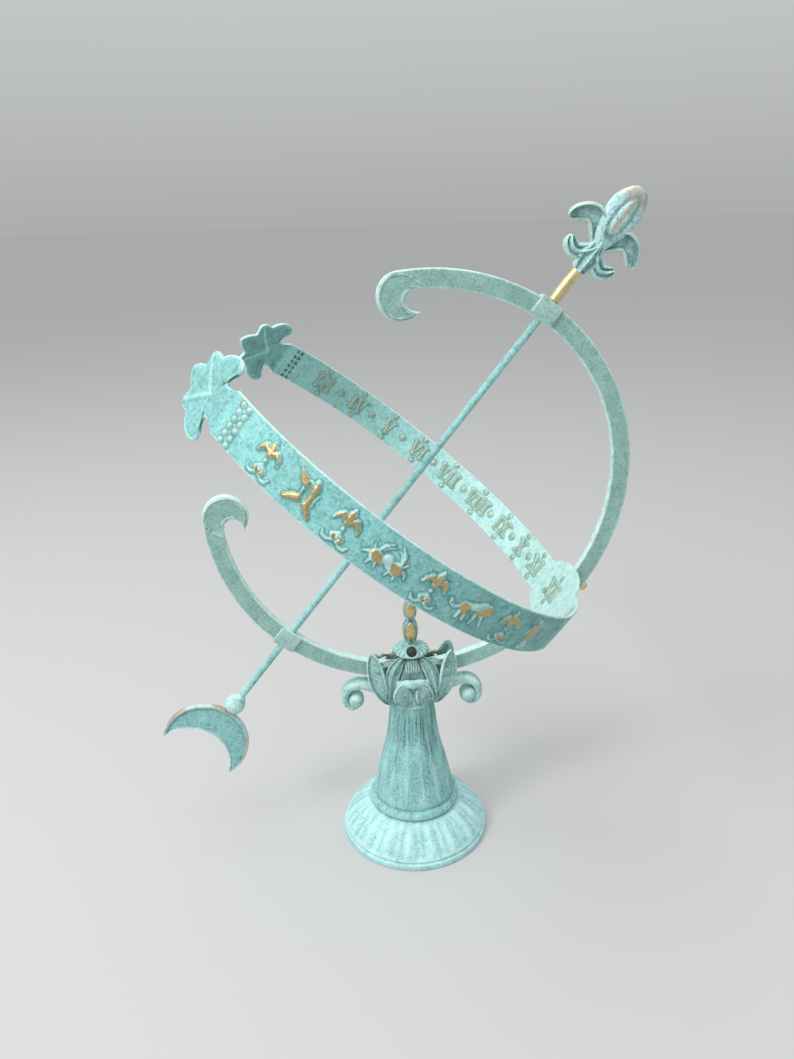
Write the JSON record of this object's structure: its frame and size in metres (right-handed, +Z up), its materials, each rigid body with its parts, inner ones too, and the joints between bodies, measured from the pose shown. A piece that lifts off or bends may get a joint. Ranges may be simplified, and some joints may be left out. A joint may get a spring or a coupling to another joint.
{
  "type": "armillary sphere sundial",
  "caption": "Open armillary sundial: a hooked meridian ring on a bell-footed pedestal carries a curved hour band and an arrow gnomon with a fleur-de-lis tip and crescent tail.",
  "frame": {"origin": "centre of the underside of the foot, where the pad meets the surface", "axes": "+Z up the column, +X north in the plane of the meridian ring, -Y towards the zodiac face of the hour band"},
  "size_m": [0.4404, 0.4154, 0.6014],
  "materials": {
    "verdigris_cast": "cast bronze with an even matt verdigris patina",
    "verdigris_worn": "verdigris patina rubbed back to gold-brown metal on the high spots",
    "brass_bare": "bare polished brass, a little tarnished",
    "steel_plain": "plain steel fastener",
    "pad_rubber": "black rubber sheet"
  },
  "bodies": {
    "pedestal": {"base_pad": "pad_rubber", "foot_skirt": "verdigris_cast", "bell_column": "verdigris_cast", "leaf_capital": "verdigris_cast", "clamp_cup": "verdigris_cast", "cup_screw": "brass_bare", "tie_rod": "steel_plain", "cross_pin": "steel_plain", "tie_washer": "steel_plain", "tie_nut": "steel_plain"},
    "finial_bud": {"finial": "verdigris_worn"},
    "meridian": {"meridian_ring": "verdigris_cast", "hour_band_west": "verdigris_worn", "hour_band_east": "verdigris_worn", "band_screw_north": "brass_bare", "band_screw_south": "brass_bare", "upper_grub_screw": "brass_bare", "lower_grub_screw": "brass_bare"},
    "pointer": {"gnomon_rod": "verdigris_cast", "brass_sleeve": "brass_bare", "fleur_de_lis": "verdigris_worn", "tail_ball": "verdigris_worn", "crescent_tail": "verdigris_worn"}
  },
  "joints": [
    {"name": "latitude_tilt", "type": "hinge", "parent": "pedestal", "child": "meridian", "pos_m": [-0.0036, 0, 0.3619], "axis": [0, 1, 0], "range_deg": [-9, 9]},
    {"name": "gnomon_turn", "type": "hinge", "parent": "meridian", "child": "pointer", "pos_m": [0.00175, 0, 0.36403], "axis": [0.628, 0, 0.7782], "continuous": true},
    {"name": "finial_turn", "type": "hinge", "parent": "pedestal", "child": "finial_bud", "pos_m": [0, 0, 0.209], "axis": [0, 0, 1], "continuous": true}
  ]
}
